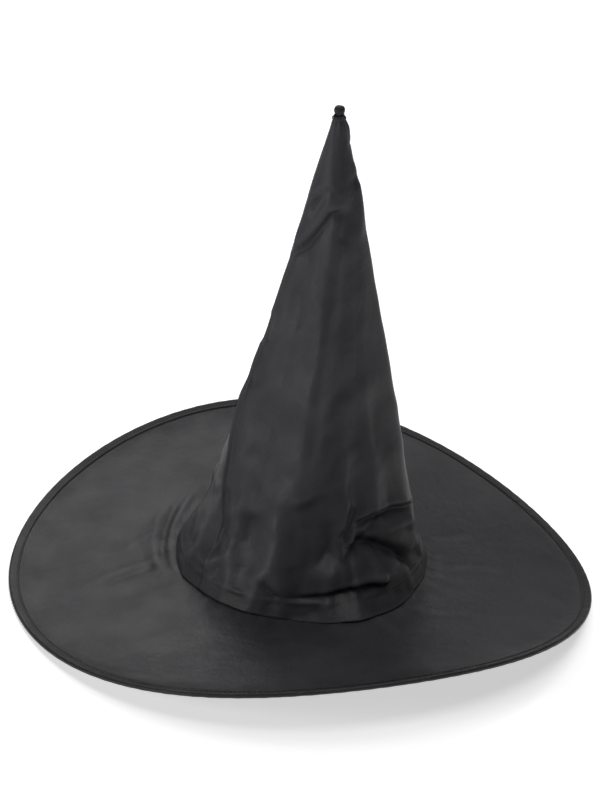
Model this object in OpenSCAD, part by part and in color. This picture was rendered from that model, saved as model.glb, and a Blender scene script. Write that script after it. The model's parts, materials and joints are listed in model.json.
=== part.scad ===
// Pointed cloth hat with a wired brim, in the shape it takes when it stands on a flat surface.
// The origin is the centre of the head opening, at the head seam, and +Z points to the peak.
// The brim bends like a saddle: two opposite sides of its rim are low and touch the surface.

/* [Head opening] */
// Radius that the head opening leaves free for the head
head_r = 84.5; // [70:0.5:104]
// Height of the tape sewn round the inside of the head opening
band_h = 12; // [8:1:20]
// Thickness of that tape
band_t = 0.5; // [0.4:0.1:1]
// Height of the brim's edge that is turned up inside the crown
turn_up = 6; // [4:0.5:7.5]

/* [Crown] */
// Height from the head seam to the top of the peak
crown_h = 341; // [280:1:420]
// Radius of the cloth where it is gathered under the peak's knot
gather_r = 3.7; // [2.6:0.1:4]
// Sideways lean of the peak
lean = 10; // [0:1:30]
// Shape of the crown's sides: 1 is a straight cone, less draws the middle in
taper = 0.93; // [0.8:0.01:1.1]
// Height of the crease at which the peak folds over
fold_h = 246; // [200:1:270]

/* [Crown seam] */
// Direction of the crown's own seam at the head seam, in degrees from +X
seam_dir = 218; // [180:1:260]
// How far that seam turns towards the side on its way up, in degrees
seam_turn = 26; // [0:1:40]
// Height above which it runs straight to the peak
seam_turn_h = 185; // [100:1:240]

/* [Brim] */
// Width of the brim along the cloth, from the head seam to the outer edge of the binding
brim_w = 120.7; // [90:0.1:140]
// How far the brim bends up and down as a saddle, in degrees
saddle = 9.2; // [0:0.1:12]
// Direction of the saddle's low sides, in degrees from +X
low_dir = 16; // [0:1:90]
// How far the rim is skewed between its low and its high sides, in degrees
skew = 1.9; // [0:0.1:3]
// Small wave of the rim with three crests, in degrees
wave_3 = 0.6; // [0:0.1:1.5]
// Small wave of the rim with four crests, in degrees
wave_4 = 0.45; // [0:0.05:1.5]

/* [Binding and hoop] */
// Width of the folded strip that binds the rim
binding_w = 7; // [6:0.5:12]
// Thickness of that strip
binding_t = 0.4; // [0.3:0.05:0.6]
// Diameter of the spring wire in the rim
wire_d = 1.4; // [1:0.1:2]
// Wall of the crimped tube that joins the wire's ends
ferrule_t = 0.35; // [0.3:0.05:0.5]
// Length of that tube
ferrule_l = 14; // [10:1:15]
// Gap between the wire's ends inside the tube
wire_gap = 2; // [1:0.5:4]
// Distance of the stitches from the strip's inner edge
stitch_in = 1.4; // [1:0.1:2]

/* [Cloth and thread] */
// Thickness of the cloth
cloth_t = 0.4; // [0.3:0.05:0.6]
// Diameter of the sewing thread
thread_d = 0.4; // [0.3:0.05:0.5]
// Height of the knot at the peak
knot_h = 6.4; // [5:0.1:9]
// Diameter of the knot
knot_d = 7.6; // [5:0.1:9]
// Turns of thread tied round the peak under its knot
whip_turns = 4; // [2:1:6]

/* [Clearances] */
// Space between two layers of cloth that lie on each other
layer_gap = 0.1; // [0.05:0.05:0.2]
// Space between the crown and the brim at the head seam
seam_gap = 0.3; // [0.2:0.05:0.5]
// Width of the crease that parts the peak from the crown below it
fold_gap = 0.3; // [0.2:0.05:0.6]
// Space round the wire and its joining tube
wire_slack = 0.1; // [0.05:0.05:0.2]

/* [Hidden] */

// Colours of the coated cloth, the tape, the thread and the metal
CLOTH = "#38383a";
TAPE = "#222224";
THREAD = "#161617";
STEEL = "#8d9094";
$fn = 96;

// Directions round the hat at which every ring of cloth has a corner
STEP = 5;
TURN = [for (a = [0:STEP:359]) a];
PEAK_TURN = [for (a = [0:2 * STEP:359]) a];

thread_r = thread_d / 2;
wire_r = wire_d / 2;

// The pieces of the head seam, from the tape outwards to the crown's outer face
band_r = head_r + band_t;
seam_thread_r = band_r + layer_gap + thread_r + 0.05;
turn_in_r = seam_thread_r + thread_r + layer_gap;
turn_out_r = turn_in_r + cloth_t;
seam_r = turn_out_r + seam_gap + cloth_t;
seam_thread_z = turn_up / 2;
overlock_z = turn_up + thread_r + layer_gap;

strip_in = cloth_t / 2 + layer_gap;
strip_out = strip_in + binding_t;
ferrule_in = wire_r + 0.02;
ferrule_r = ferrule_in + ferrule_t;

// The strip's pocket has flat sides that clear the wire, and the tube at its joint
POCKET_STEP = 45;
pocket_r = (wire_r + wire_slack) / cos(POCKET_STEP / 2);
joint_pocket_r = (ferrule_r + wire_slack) / cos(POCKET_STEP / 2);

// Distances from the head seam, along the cloth of the brim
wire_s = brim_w - binding_t - pocket_r;
cloth_end_s = wire_s - ferrule_r - wire_slack - 0.1;
strip_s = brim_w - binding_w;
stitch_s = strip_s + stitch_in;

// The joint in the wire lies half-way between two corners of the rim, at the back of the hat
JOINT_CORNER = 18;
joint_dir = (JOINT_CORNER + 0.5) * STEP;

// Heights of the crown's rings of cloth; its foot stands straight up past the tape
LOWER_RINGS = 9;
PEAK_RINGS = 5;
knot_z = crown_h - knot_h;
peak_top = knot_z - fold_gap;
crown_foot = cloth_t / 2 + seam_gap;
cone_foot = band_h + 1;
crown_top = fold_h - fold_gap / 2;
peak_foot = fold_h + fold_gap / 2;
lower_zs = concat([crown_foot], spaced(cone_foot, crown_top, LOWER_RINGS));
peak_zs = spaced(peak_foot, peak_top, PEAK_RINGS);
whip_pitch = thread_d + 0.05;
whip_foot = peak_top - 1 - whip_turns * whip_pitch;

// A number of values evenly spaced from a to b
function spaced(a, b, count) = [for (i = [0:count - 1]) a + (b - a) * i / (count - 1)];

// The way up the crown's cone at height z, from 0 at its foot to 1 at its top
function way_up(z, top) = max(0, z - cone_foot) / (top - cone_foot);

// A point of the crown's axis, and the radius of its cloth, at height z
function axis_x(z) = lean * (1 - pow(1 - way_up(z, crown_h), 2.2));
function crown_r(z) = seam_r + (gather_r - seam_r) * pow(way_up(z, peak_top), taper);

// A point at distance r from the crown's axis, at height z, in direction a
function crown_point(r, z, a) = [axis_x(z) + r * cos(a), r * sin(a), z];

// Slope of the brim in direction a, upwards from the head seam
function brim_slope(a) =
    let (u = a - low_dir)
    skew * sin(2 * u) * sin(u) - saddle * cos(2 * u) - wave_3 * sin(3 * u) + wave_4 * cos(4 * u + 24);

// A point of the brim in direction a: s along the cloth from the head seam, n above its middle
function brim_point(s, n, a) =
    let (up = brim_slope(a), r = seam_r + s * cos(up) - n * sin(up))
    [r * cos(a), r * sin(a), s * sin(up) + n * cos(up)];

// A point in direction a at radius r from the origin's vertical axis
function ring_point(r, z, a) = [r * cos(a), r * sin(a), z];

// A point between two points, or each point between two rings of points
function between(p, q, f) = p * (1 - f) + q * f;

// A round outline in s and n, with its middle at distance s and height n
function round_outline(s, n, r, sides) =
    [for (i = [0:sides - 1]) [s + r * cos(360 * (i + 0.5) / sides), n + r * sin(360 * (i + 0.5) / sides)]];

// An outline in s and n set on the brim in direction a
function on_brim(outline, a) = [for (p = outline) brim_point(p[0], p[1], a)];

// Solid through a list of rings of points; a closed one joins its last ring to its first
module loft(rings, closed) {
    n = len(rings[0]);
    count = len(rings);
    spans = closed ? count : count - 1;
    walls = [
        for (i = [0:spans - 1]) for (j = [0:n - 1])
            let (next_i = (i + 1) % count, next_j = (j + 1) % n)
            each [
                [i * n + j, i * n + next_j, next_i * n + next_j],
                [i * n + j, next_i * n + next_j, next_i * n + j]
            ]
    ];
    ends = closed ? [] : [
        [for (j = [n - 1:-1:0]) j],
        [for (j = [0:n - 1]) (count - 1) * n + j]
    ];
    polyhedron(points = [for (ring = rings) each ring], faces = concat(walls, ends));
}

// A hollow stretch of the crown, open at both ends, through rings at the heights zs
module crown_cloth(zs, turn) {
    down = [for (i = [len(zs) - 1:-1:0]) zs[i]];
    loft([
        for (a = turn) concat(
            [for (z = zs) crown_point(crown_r(z), z, a)],
            [for (z = down) crown_point(crown_r(z) - cloth_t, z, a)]
        )
    ], true);
}

// Direction of the crown's seam at height z: it turns gently, then runs straight
function seam_at(z) =
    let (t = min(1, z / seam_turn_h))
    seam_dir - seam_turn * t * t * (3 - 2 * t);

// A line of stitches up the crown's seam, through the heights zs
module crown_stitches(zs) {
    lift = thread_r + layer_gap;
    SIDES = 6;
    loft([
        for (z = zs)
            let (a = seam_at(z))
            [
                for (i = [SIDES - 1:-1:0])
                    crown_point(crown_r(z) + lift + thread_r * cos(360 * i / SIDES), z, a)
                    + thread_r * sin(360 * i / SIDES) * [-sin(a), cos(a), 0]
            ]
    ], false);
}

module crown() {
    color(CLOTH) crown_cloth(lower_zs, TURN);
}

module crown_peak() {
    color(CLOTH) crown_cloth(peak_zs, PEAK_TURN);
}

module crown_seam_thread() {
    color(THREAD) crown_stitches([for (z = lower_zs) max(z, 2)]);
}

module peak_seam_thread() {
    color(THREAD) crown_stitches(spaced(peak_foot, whip_foot - thread_d, PEAK_RINGS));
}

// The knot that closes the peak: a short stub with a round top, drawn out above its tie
module peak_knot() {
    ARC_STEP = 15;
    r = knot_d / 2;
    foot = r / 5;
    color(TAPE) translate([axis_x(knot_z), 0, knot_z]) rotate_extrude()
        polygon(concat(
            [[0, 0], [r - foot, 0], [r, foot]],
            [for (a = [0:ARC_STEP:90]) [r * cos(a), knot_h - r + r * sin(a)]]
        ));
}

// Turns of thread tied round the gathered cloth, just under the knot
module peak_whipping() {
    color(THREAD) for (i = [0:whip_turns - 1])
        let (z = whip_foot + thread_r + i * whip_pitch, r = crown_r(z - thread_d) + layer_gap + thread_d)
        translate([axis_x(z), 0, z]) rotate_extrude() translate([r, 0]) circle(r = thread_r, $fn = 16);
}

// The brim is one layer of cloth; its inner edge is turned up inside the crown
module brim() {
    top = cloth_t / 2;
    stations = concat(spaced(0, strip_s, 5), [cloth_end_s]);
    back = [for (i = [len(stations) - 1:-1:0]) stations[i]];
    color(CLOTH) loft([
        for (a = TURN) concat(
            [for (s = stations) brim_point(s, -top, a)],
            [for (s = back) brim_point(s, top, a)],
            [ring_point(turn_out_r, top, a), ring_point(turn_out_r, turn_up, a)],
            [ring_point(turn_in_r, turn_up, a), ring_point(turn_in_r, -top, a)]
        )
    ], true);
}

// Outline of the strip, folded round the rim with a pocket of radius r for the wire
function strip_outline(r) =
    let (outer = r + binding_t, neck = cloth_end_s - 1)
    concat(
        [[strip_s, -strip_out], [neck, -strip_out]],
        [for (a = [-90:POCKET_STEP:90]) [wire_s + outer * cos(a), outer * sin(a)]],
        [[neck, strip_out], [strip_s, strip_out], [strip_s, strip_in], [neck, strip_in]],
        [for (a = [90:-POCKET_STEP:-90]) [wire_s + r * cos(a), r * sin(a)]],
        [[neck, -strip_in], [strip_s, -strip_in]]
    );

// The pocket widens beside the joint in the wire
module rim_binding() {
    color(CLOTH) loft([
        for (a = TURN)
            on_brim(strip_outline(abs(a - joint_dir) < STEP ? joint_pocket_r : pocket_r), a)
    ], true);
}

// One line of stitches on each face of the strip
module binding_thread() {
    lift = strip_out + thread_r + layer_gap / 2;
    color(THREAD) for (n = [-lift, lift])
        loft([for (a = TURN) on_brim(round_outline(stitch_s, n, thread_r, 5), a)], true);
}

// The spring wire is one round, with both ends inside the joining tube
module hoop_wire() {
    WIRE_SIDES = 8;
    outline = round_outline(wire_s, 0, wire_r, WIRE_SIDES);
    half_gap = wire_gap / 2 / joint_span;
    first = on_brim(outline, joint_dir - STEP / 2);
    second = on_brim(outline, joint_dir + STEP / 2);
    corners = len(TURN);
    color(STEEL) loft(concat(
        [between(first, second, 0.5 + half_gap)],
        [for (i = [1:corners]) on_brim(outline, TURN[(JOINT_CORNER + i) % corners])],
        [between(first, second, 0.5 - half_gap)]
    ), false);
}

// The ends of the straight stretch of wire between the two corners beside the joint
joint_start = brim_point(wire_s, 0, joint_dir - STEP / 2);
joint_end = brim_point(wire_s, 0, joint_dir + STEP / 2);
joint_span = norm(joint_end - joint_start);

// The crimped tube lies along the middle of that stretch
module wire_ferrule() {
    along = joint_end - joint_start;
    color(STEEL) translate((joint_start + joint_end) / 2)
        rotate([0, acos(along[2] / joint_span), atan2(along[1], along[0])])
            difference() {
                cylinder(r = ferrule_r, h = ferrule_l, center = true);
                cylinder(r = ferrule_in, h = ferrule_l + 2, center = true);
            }
}

module head_band() {
    color(TAPE) difference() {
        cylinder(r = band_r, h = band_h);
        translate([0, 0, -1]) cylinder(r = head_r, h = band_h + 2);
    }
}

// The stitches that join crown, brim and tape run between the tape and the turned-up edge
module head_seam_thread() {
    color(THREAD) translate([0, 0, seam_thread_z]) rotate_extrude()
        translate([seam_thread_r, 0]) circle(r = thread_r, $fn = 16);
}

// The thread that holds the turned-up edge of the brim from fraying
module overlock_thread() {
    color(THREAD) translate([0, 0, overlock_z]) rotate_extrude()
        translate([(turn_in_r + turn_out_r) / 2, 0]) circle(r = thread_r, $fn = 16);
}

crown();
crown_peak();
crown_seam_thread();
peak_seam_thread();
peak_knot();
peak_whipping();
brim();
rim_binding();
binding_thread();
hoop_wire();
wire_ferrule();
head_band();
head_seam_thread();
overlock_thread();
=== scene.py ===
import json
import math

import bpy
import numpy as np
from mathutils import Matrix, Vector


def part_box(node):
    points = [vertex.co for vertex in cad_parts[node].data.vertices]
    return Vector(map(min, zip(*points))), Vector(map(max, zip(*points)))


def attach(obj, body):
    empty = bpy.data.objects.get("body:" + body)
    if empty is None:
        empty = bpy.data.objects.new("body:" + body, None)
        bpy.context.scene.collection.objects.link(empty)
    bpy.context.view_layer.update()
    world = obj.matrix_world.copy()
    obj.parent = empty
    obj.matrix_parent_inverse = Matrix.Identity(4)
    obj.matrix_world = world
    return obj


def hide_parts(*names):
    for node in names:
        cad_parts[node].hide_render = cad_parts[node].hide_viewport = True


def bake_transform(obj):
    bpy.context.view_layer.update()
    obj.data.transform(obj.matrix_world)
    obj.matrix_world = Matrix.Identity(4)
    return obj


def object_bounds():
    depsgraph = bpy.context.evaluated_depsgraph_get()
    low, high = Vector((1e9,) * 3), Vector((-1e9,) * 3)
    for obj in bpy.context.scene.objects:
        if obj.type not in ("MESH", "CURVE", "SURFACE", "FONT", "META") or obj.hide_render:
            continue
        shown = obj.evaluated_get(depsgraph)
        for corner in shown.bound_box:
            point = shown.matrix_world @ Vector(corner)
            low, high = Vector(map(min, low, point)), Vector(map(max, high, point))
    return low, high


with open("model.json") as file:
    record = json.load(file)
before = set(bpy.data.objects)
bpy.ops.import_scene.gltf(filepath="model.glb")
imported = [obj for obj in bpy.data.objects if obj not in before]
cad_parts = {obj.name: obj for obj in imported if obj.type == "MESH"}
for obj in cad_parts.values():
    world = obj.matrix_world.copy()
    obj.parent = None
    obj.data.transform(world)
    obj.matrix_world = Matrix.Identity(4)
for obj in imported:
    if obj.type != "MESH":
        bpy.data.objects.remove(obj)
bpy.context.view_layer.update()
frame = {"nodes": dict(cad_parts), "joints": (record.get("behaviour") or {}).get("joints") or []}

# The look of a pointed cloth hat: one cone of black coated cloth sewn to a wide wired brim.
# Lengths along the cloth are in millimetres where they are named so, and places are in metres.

scene = bpy.context.scene
MM = 0.001


# ---- camera

EYE_DISTANCE = 2.075
EYE_ELEVATION = math.radians(29.59)
EYE_TARGET = Vector((-0.0063, 0, 0.1234))
EYE_ROLL = math.radians(2.92)
LENS_MM = 131.4


def set_camera():
    """A long lens in front of the hat, well above the brim, held very slightly turned."""
    place = Vector((0, -math.cos(EYE_ELEVATION), math.sin(EYE_ELEVATION))) * EYE_DISTANCE
    data = bpy.data.cameras.new("camera")
    data.lens = LENS_MM
    data.sensor_width = 36
    data.clip_end = 20
    camera = bpy.data.objects.new("camera", data)
    scene.collection.objects.link(camera)
    camera.location = place
    facing = (EYE_TARGET - place).to_track_quat("-Z", "Y").to_matrix()
    camera.rotation_euler = (facing @ Matrix.Rotation(EYE_ROLL, 3, "Z")).to_euler()
    scene.camera = camera


set_camera()


# ---- measures taken from the frame

seam_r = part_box("crown")[1].x
crown_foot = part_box("crown")[0].z
crown_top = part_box("crown_peak")[1].z
band_low, band_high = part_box("head_band")
turn_up_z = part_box("overlock_thread")[0].z
turn_up_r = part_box("overlock_thread")[1].x - 0.2 * MM
fold_pivot = Vector(frame["joints"][0]["pos_m"])


def bell(x, width):
    """A smooth rise to 1 where x is 0, which has mostly gone at a distance of width."""
    return np.exp(-(x / width) ** 2)


def round_points(reach, turn, z, middle=0):
    """Points round an upright line: their distance from it, their angle in radians and their height."""
    return np.stack([middle + reach * np.cos(turn), reach * np.sin(turn), z], axis=1)


def corners_of(node):
    """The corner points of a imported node, one row each."""
    return np.array([v.co[:] for v in frame["nodes"][node].data.vertices])


def directions_of(points):
    """Direction of each point round the hat, in degrees from +X."""
    return np.degrees(np.arctan2(points[:, 1], points[:, 0]))


SLOPE_WAVES = 8


def waves(degrees):
    """A constant, then the cosine and the sine of each whole multiple of a direction."""
    turn = np.radians(np.atleast_1d(degrees).astype(float))[:, None]
    turn = turn * np.arange(1, SLOPE_WAVES + 1)
    return np.hstack([np.ones((len(turn), 1)), np.cos(turn), np.sin(turn)])


def fit_slope():
    """The brim's slope round the hat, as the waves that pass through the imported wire."""
    points = corners_of("hoop_wire")
    heading = directions_of(points)
    station = np.round(heading / 5) * 5
    on_station = np.abs(heading - station) < 0.01
    found = []
    for degrees in np.unique(station[on_station]):
        middle = points[on_station & (station == degrees)].mean(axis=0)
        reach = math.hypot(middle[0], middle[1]) - seam_r
        found.append((degrees, math.atan2(middle[2], reach)))
    found = np.array(found)
    return np.linalg.lstsq(waves(found[:, 0]), found[:, 1], rcond=None)[0]


slope_weights = fit_slope()


def brim_slope(degrees):
    """Upward slope of the brim in each direction, in radians."""
    return waves(degrees) @ slope_weights


def brim_point(s, n, degrees):
    """Points of the brim: s metres along the cloth from the head seam, n metres above its middle."""
    slope = brim_slope(degrees)
    reach = seam_r + s * np.cos(slope) - n * np.sin(slope)
    return round_points(reach, np.radians(degrees), s * np.sin(slope) + n * np.cos(slope))


def brim_reach(node):
    """How far along the brim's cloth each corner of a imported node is, and how far above its middle."""
    points = corners_of(node)
    slope = brim_slope(directions_of(points))
    out = np.hypot(points[:, 0], points[:, 1]) - seam_r
    along = out * np.cos(slope) + points[:, 2] * np.sin(slope)
    above = points[:, 2] * np.cos(slope) - out * np.sin(slope)
    return along, above


strip_s = brim_reach("rim_binding")[0].min()
rim_s = brim_reach("rim_binding")[0].max()
cloth_end_s = brim_reach("brim")[0].max()
wire_s = brim_reach("hoop_wire")[0].mean()
stitch_s = brim_reach("binding_thread")[0].mean()
stitch_lift = np.abs(brim_reach("binding_thread")[1]).mean()


def fit_crown():
    """The crown's axis and radius at any height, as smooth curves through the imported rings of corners."""
    points = np.vstack([corners_of("crown"), corners_of("crown_peak")])
    rows = []
    for z in np.unique(points[:, 2].round(5)):
        across = points[np.abs(points[:, 2] - z) < 1e-5, 0]
        rows.append((z, (across.max() + across.min()) / 2, (across.max() - across.min()) / 2))
    rows = np.array(rows[1:])
    return np.polyfit(rows[:, 0], rows[:, 1], 5), np.polyfit(rows[:, 0], rows[:, 2], 5), rows[0, 0]


axis_curve, radius_curve, cone_foot = fit_crown()


def crown_axis(z):
    """How far the crown's axis has leaned at height z."""
    return np.polyval(axis_curve, np.maximum(z, cone_foot))


def crown_radius(z):
    """Radius of the crown's cloth at height z: it stands straight on the head seam, then narrows."""
    return np.minimum(np.polyval(radius_curve, np.maximum(z, cone_foot)), seam_r)


# ---- materials

def linear(code):
    """A colour given as sRGB hex, as the linear values that shaders take."""
    parts = [int(code[i:i + 2], 16) / 255 for i in (1, 3, 5)]
    return (*[p / 12.92 if p <= 0.04045 else ((p + 0.055) / 1.055) ** 2.4 for p in parts], 1)


def set_inputs(tree, node, inputs):
    """Sets a node's inputs, each to a value or to another node's output."""
    for name, value in inputs.items():
        if isinstance(value, bpy.types.NodeSocket):
            tree.links.new(value, node.inputs[name])
        else:
            node.inputs[name].default_value = value


def add(tree, kind, inputs, stops=(), **settings):
    """Adds a node with its settings and its inputs, and with the stops of its ramp where it has one:
    each is a place from 0 to 1 and a colour as sRGB hex."""
    made = tree.nodes.new("ShaderNode" + kind)
    for name, value in settings.items():
        setattr(made, name, value)
    set_inputs(tree, made, inputs)
    for i, (place, code) in enumerate(stops):
        made.color_ramp.elements[i].position = place
        made.color_ramp.elements[i].color = linear(code)
    return made


def new_material(name):
    """An empty material, its node tree and its principled shader."""
    material = bpy.data.materials.new(name)
    material.use_nodes = True
    tree = material.node_tree
    return material, tree, tree.nodes["Principled BSDF"]


# A wave texture goes once up and down in this many units of its vector, at a scale of 1
WAVE_LENGTH = 2 * math.pi / 20
# Sizes of the marks on the coated cloth: soft clouds in its sheen, grains of the coat and shallow dents
CLOUD_MM = 38.5
SPECK_MM = 2.38
DENT_MM = 18.2
WEAVE_MM = 1.1


def coated_taffeta(name, dark, light, roughness):
    """Polyester taffeta with a thin matt polyurethane coat, woven flat and then knife coated.
    The coat gives a soft, slightly uneven sheen. Its colour is painted paler on the crests of folds, as
    rubbed wear and painted highlight, and darker in their hollows, as painted shade.
    Its threads lie 0.2 mm apart, too fine to show, so the weave is drawn 1.1 mm apart and very shallow."""
    material, tree, shader = new_material(name)
    cut = add(tree, "UVMap", {}, uv_map="cut").outputs["UV"]
    # Painted light and shade: the colour is paler where the cloth stands proud and darker in its hollows,
    # with some rubbed wear on the crests
    wear_and_shade = add(tree, "Attribute", {}, attribute_name="wear_and_shade").outputs["Fac"]
    cloudy = add(tree, "TexNoise", {
        "Vector": cut, "Scale": 1 / (CLOUD_MM * MM), "Detail": 4, "Roughness": 0.6,
    }).outputs["Fac"]
    specks = add(tree, "TexNoise", {
        "Vector": cut, "Scale": 1 / (SPECK_MM * MM), "Detail": 3, "Roughness": 0.7,
    })
    mottle_wear_and_shade = add(tree, "Math", {0: cloudy, 1: wear_and_shade}, operation="ADD")
    tone = add(tree, "MapRange", {"Value": mottle_wear_and_shade.outputs[0], "From Min": 0.6, "From Max": 1.4})
    colour = add(tree, "ValToRGB", {"Fac": tone.outputs["Result"]}, stops=[(0, dark), (1, light)])
    uneven = add(tree, "MapRange", {"Value": cloudy, "To Min": roughness + 0.1, "To Max": roughness - 0.1})
    weave_scale = WAVE_LENGTH / (WEAVE_MM * MM)
    warp = add(tree, "TexWave", {"Vector": cut, "Scale": weave_scale}, bands_direction="X")
    weft = add(tree, "TexWave", {"Vector": cut, "Scale": weave_scale}, bands_direction="Y")
    weave = add(tree, "Math", {0: warp.outputs["Fac"], 1: weft.outputs["Fac"]}, operation="MULTIPLY")
    crumple = add(tree, "TexNoise", {
        "Vector": cut, "Scale": 1 / (DENT_MM * MM), "Detail": 5, "Roughness": 0.62,
    })
    dents = add(tree, "Bump", {"Height": crumple.outputs["Fac"], "Strength": 0.5, "Distance": 1.6 * MM})
    grain = add(tree, "Bump", {
        "Height": specks.outputs["Fac"], "Normal": dents.outputs["Normal"],
        "Strength": 0.25, "Distance": 0.25 * MM,
    })
    threads = add(tree, "Bump", {
        "Height": weave.outputs[0], "Normal": grain.outputs["Normal"],
        "Strength": 0.12, "Distance": 0.1 * MM,
    })
    set_inputs(tree, shader, {
        "Base Color": colour.outputs["Color"], "Roughness": uneven.outputs["Result"],
        "Normal": threads.outputs["Normal"], "Specular IOR Level": 0.24,
    })
    return material


def twill_tape():
    """Black cotton and polyester twill tape, woven narrow and piece dyed.
    Its slanting ribs lie 0.7 mm apart and catch a little light; it is matter than the coated cloth."""
    material, tree, shader = new_material("woven_twill_tape")
    cut = add(tree, "UVMap", {}, uv_map="cut").outputs["UV"]
    slant = add(tree, "Mapping", {"Vector": cut, "Rotation": (0, 0, math.radians(45))})
    ribs = add(tree, "TexWave", {
        "Vector": slant.outputs["Vector"], "Scale": WAVE_LENGTH / (0.7 * MM), "Distortion": 0.4,
    }).outputs["Fac"]
    colour = add(tree, "ValToRGB", {"Fac": ribs}, stops=[(0.2, "#121214"), (0.9, "#2a2a2c")])
    fluff = add(tree, "TexNoise", {"Vector": cut, "Scale": 1 / (1.11 * MM), "Detail": 3})
    raised = add(tree, "Bump", {"Height": ribs, "Strength": 0.7, "Distance": 0.2 * MM})
    hairy = add(tree, "Bump", {
        "Height": fluff.outputs["Fac"], "Normal": raised.outputs["Normal"],
        "Strength": 0.3, "Distance": 0.1 * MM,
    })
    set_inputs(tree, shader, {
        "Base Color": colour.outputs["Color"], "Normal": hairy.outputs["Normal"],
        "Roughness": 0.85, "Sheen Weight": 0.25, "Sheen Roughness": 0.4,
    })
    return material


def spun_thread():
    """Spun polyester sewing thread, three plies twisted together and dyed black.
    The plies show as a fine slanting line about 0.5 mm apart, with a dull, hairy surface."""
    material, tree, shader = new_material("spun_polyester_thread")
    place = add(tree, "TexCoord", {}).outputs["Object"]
    plies = add(tree, "TexWave", {
        "Vector": place, "Scale": WAVE_LENGTH / (0.5 * MM), "Distortion": 1.5,
    }, bands_direction="DIAGONAL").outputs["Fac"]
    colour = add(tree, "ValToRGB", {"Fac": plies}, stops=[(0.1, "#131314"), (0.9, "#2b2b2e")])
    twist = add(tree, "Bump", {"Height": plies, "Strength": 0.6, "Distance": 0.08 * MM})
    set_inputs(tree, shader, {
        "Base Color": colour.outputs["Color"], "Normal": twist.outputs["Normal"],
        "Roughness": 0.7, "Sheen Weight": 0.2,
    })
    return material


def drawn_metal(name, dark, light, roughness, streak):
    """Metal with fine marks from its making, streak apart, which break up its reflections."""
    material, tree, shader = new_material(name)
    place = add(tree, "TexCoord", {}).outputs["Object"]
    marks = add(tree, "TexNoise", {
        "Vector": place, "Scale": 1 / streak, "Detail": 4, "Roughness": 0.65,
    }).outputs["Fac"]
    colour = add(tree, "ValToRGB", {"Fac": marks}, stops=[(0.3, dark), (0.7, light)])
    uneven = add(tree, "MapRange", {"Value": marks, "To Min": roughness - 0.08, "To Max": roughness + 0.12})
    scratched = add(tree, "Bump", {"Height": marks, "Strength": 0.2, "Distance": 0.03 * MM})
    set_inputs(tree, shader, {
        "Base Color": colour.outputs["Color"], "Roughness": uneven.outputs["Result"],
        "Normal": scratched.outputs["Normal"], "Metallic": 1,
    })
    return material


def opal_acrylic():
    """The top of a light table: cast opal acrylic with a matt face, softly lit from below."""
    material, tree, shader = new_material("cast_opal_acrylic")
    place = add(tree, "TexCoord", {}).outputs["Object"]
    haze = add(tree, "TexNoise", {"Vector": place, "Scale": 1 / (500 * MM), "Detail": 2}).outputs["Fac"]
    colour = add(tree, "ValToRGB", {"Fac": haze}, stops=[(0.2, "#f2f2f2"), (0.8, "#f8f8f8")])
    set_inputs(tree, shader, {
        "Base Color": colour.outputs["Color"], "Roughness": 0.9, "Specular IOR Level": 0.1,
        "Emission Color": (1, 1, 1, 1), "Emission Strength": 0.56,
    })
    return material


cloth_finish = coated_taffeta("polyurethane_coated_taffeta", "#252528", "#38383b", 0.47)
# A darker copy of the coated cloth, as painted shade: it dresses the rim's binding strip and the knob at the
# peak
shaded_strip_finish = coated_taffeta("coated_strip_painted_darker", "#19191b", "#262628", 0.45)
tape_finish = twill_tape()
thread_finish = spun_thread()
# Spring steel wire keeps the bright skin of the die that it was drawn through
wire_finish = drawn_metal("drawn_spring_steel", "#8a8c90", "#b4b6ba", 0.3, 0.6 * MM)
# The joining tube is soft aluminium with dull marks from the crimping jaws
tube_finish = drawn_metal("crimped_aluminium", "#a3a4a6", "#c6c7c9", 0.42, 0.9 * MM)


def dress(piece, material):
    """Gives a piece its one material."""
    piece.data.materials.clear()
    piece.data.materials.append(material)


# ---- sheets of cloth

def deselect():
    """Nothing stays selected from the last job."""
    bpy.ops.object.select_all(action="DESELECT")


def pick(piece):
    """Makes a piece the only one selected, and the active one."""
    deselect()
    piece.select_set(True)
    bpy.context.view_layer.objects.active = piece


def apply_modifiers(piece):
    """Applies a piece's modifiers, in their order."""
    pick(piece)
    for modifier in list(piece.modifiers):
        bpy.ops.object.modifier_apply(modifier=modifier.name)


def points_of(piece, what="co"):
    """The places of a piece's points, or what else is asked for them, one row each."""
    flat = np.zeros(len(piece.data.vertices) * 3)
    piece.data.vertices.foreach_get(what, flat)
    return flat.reshape(-1, 3)


def set_points(piece, points):
    """Moves every point of a piece to its new place."""
    piece.data.vertices.foreach_set("co", np.ascontiguousarray(points, np.float32).ravel())
    piece.data.update()


def keep_value(piece, name, values):
    """Keeps one number for each point of a piece, by name."""
    held = piece.data.attributes.new(name, "FLOAT", "POINT")
    held.data.foreach_set("value", np.ascontiguousarray(values, np.float32))


def kept_value(piece, name):
    """The numbers kept under a name, one for each point."""
    values = np.zeros(len(piece.data.vertices), np.float32)
    piece.data.attributes[name].data.foreach_get("value", values)
    return values.astype(float)


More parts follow.
